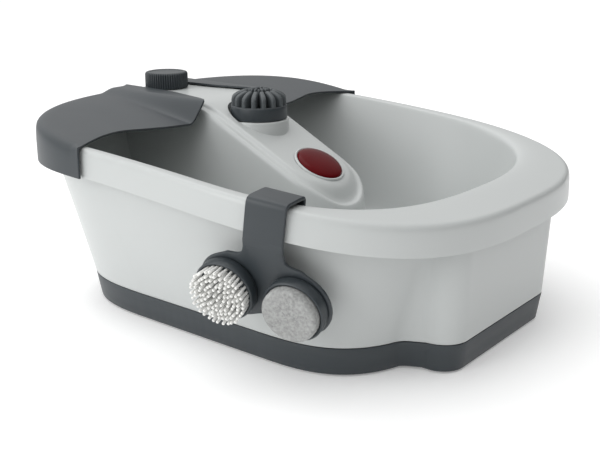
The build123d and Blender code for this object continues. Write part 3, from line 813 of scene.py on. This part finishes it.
def pumice():
    """Rounded stone disc with shallow pits."""
    place = head_place(-BRUSH_SIDE)
    radius, edge = HEAD_R - 2.7, 2.6
    profile = [(radius - 0.3, 8.0), (radius, 9.0)]
    profile += [(radius, 9.0 + 5.0 * k / 8) for k in range(1, 9)]
    profile += [(radius - edge * (1 - math.cos(k * math.pi / 12)),
                 STONE_TOP + edge * math.sin(k * math.pi / 12)) for k in range(1, 7)]
    rim_r = radius - edge
    profile += [(rim_r * (1 - k / 34), 16.6) for k in range(1, 34)]
    points, faces = lathe(profile, Matrix(), 200)
    pitted = []
    for point in points:
        p = Vector(point)
        cell = noise.voronoi(p * 0.62)[0]
        pit = max(0.0, 0.42 - cell[0]) * 1.9 + noise.noise(p * 1.4) * 0.22
        direction = Vector((p.x, p.y, max(0.0, p.z - 12.0) * 6)).normalized()
        pitted.append(place @ (p - direction * pit))
    obj = piece("pumice_disc", pitted, faces, "pumice", "pumice", 70)
    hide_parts("pumice_stone")


# ---- Stage ----

CAMERA_AZIMUTH, CAMERA_PITCH = -51.441, 16.859
CAMERA_PLACE = (-0.6490, -0.5046, 0.3129)
CAMERA_SENSOR, CAMERA_LENS = 36.0, 56.46
FLOOR_HALF, FLOOR_GLOW = 6.0, 0.2
SKY_LOW, SKY_HIGH, SKY_STRENGTH = -0.2, 0.9, 1.3
SKY_TOWARDS = (-0.2, 0.4, 0.9)
LIGHT_AIM = (0, 0, 0.1)


def camera():
    """Camera at the front left, a little above the rim."""
    azimuth, pitch = math.radians(CAMERA_AZIMUTH), math.radians(CAMERA_PITCH)
    back = Vector((math.sin(azimuth) * math.cos(pitch), -math.cos(azimuth) * math.cos(pitch),
                   math.sin(pitch)))
    data = bpy.data.cameras.new("camera")
    data.sensor_width = CAMERA_SENSOR
    data.lens = CAMERA_LENS
    eye = bpy.data.objects.new("camera", data)
    eye.location = CAMERA_PLACE
    eye.rotation_mode = "QUATERNION"
    eye.rotation_quaternion = (-back).to_track_quat("-Z", "Y")
    bpy.context.scene.collection.objects.link(eye)
    bpy.context.scene.camera = eye


def area_light(name, place, size, power):
    """Soft rectangular light that points at the object."""
    data = bpy.data.lights.new(name, "AREA")
    data.shape = "RECTANGLE"
    data.size, data.size_y = size
    data.energy = power
    lamp = bpy.data.objects.new(name, data)
    lamp.location = place
    lamp.rotation_mode = "QUATERNION"
    lamp.rotation_quaternion = (Vector(LIGHT_AIM) - Vector(place)).to_track_quat("-Z", "Y")
    bpy.context.scene.collection.objects.link(lamp)


def surround():
    """White surround that is brighter above and behind."""
    scene = bpy.context.scene
    world = bpy.data.worlds.new("studio")
    scene.world = world
    world.use_nodes = True
    tree = world.node_tree
    shade = tree.nodes["Background"]
    shade.inputs["Color"].default_value = (1, 1, 1, 1)
    place = tree.nodes.new("ShaderNodeTexCoord")
    facing = tree.nodes.new("ShaderNodeVectorMath")
    facing.operation = "DOT_PRODUCT"
    facing.inputs[1].default_value = SKY_TOWARDS
    tree.links.new(place.outputs["Generated"], facing.inputs[0])
    fall = tree.nodes.new("ShaderNodeMapRange")
    fall.inputs["From Min"].default_value = SKY_LOW
    fall.inputs["From Max"].default_value = SKY_HIGH
    fall.inputs["To Min"].default_value = 0.0
    fall.inputs["To Max"].default_value = SKY_STRENGTH
    tree.links.new(facing.outputs["Value"], fall.inputs["Value"])
    tree.links.new(fall.outputs["Result"], shade.inputs["Strength"])


def stage():
    """White surround and floor, a soft key light from the left and a top light."""
    scene = bpy.context.scene
    scene.view_settings.view_transform = "Standard"
    surround()
    mesh = bpy.data.meshes.new("floor")
    half = FLOOR_HALF
    corners = [(-half, -half, 0), (half, -half, 0), (half, half, 0), (-half, half, 0)]
    mesh.from_pydata(corners, [], [(0, 1, 2, 3)])
    floor = bpy.data.objects.new("floor", mesh)
    paper = material("white_floor", (0.93, 0.93, 0.93), 0.8, 0.01, 200, 0.0)
    glow = paper.node_tree.nodes["Principled BSDF"]
    glow.inputs["Emission Color"].default_value = (1, 1, 1, 1)
    glow.inputs["Emission Strength"].default_value = FLOOR_GLOW
    mesh.materials.append(paper)
    scene.collection.objects.link(floor)
    area_light("key", (-1.7, 0.5, 0.8), (1.1, 0.9), 8)
    area_light("top", (0.1, 0.5, 1.8), (1.3, 1.3), 5)


dress_frame()
tub()
console()
pedestal()
lens()
side_wall()
base_skirt()
splash_guard(-1)
splash_guard(1)
knob()
massage_head()
clip()
head_cup("brush_holder", BRUSH_SIDE, "brush", "brush_cup")
head_cup("pumice_holder", -BRUSH_SIDE, "pumice", "pumice_cup")
bristles()
pumice()
camera()
stage()
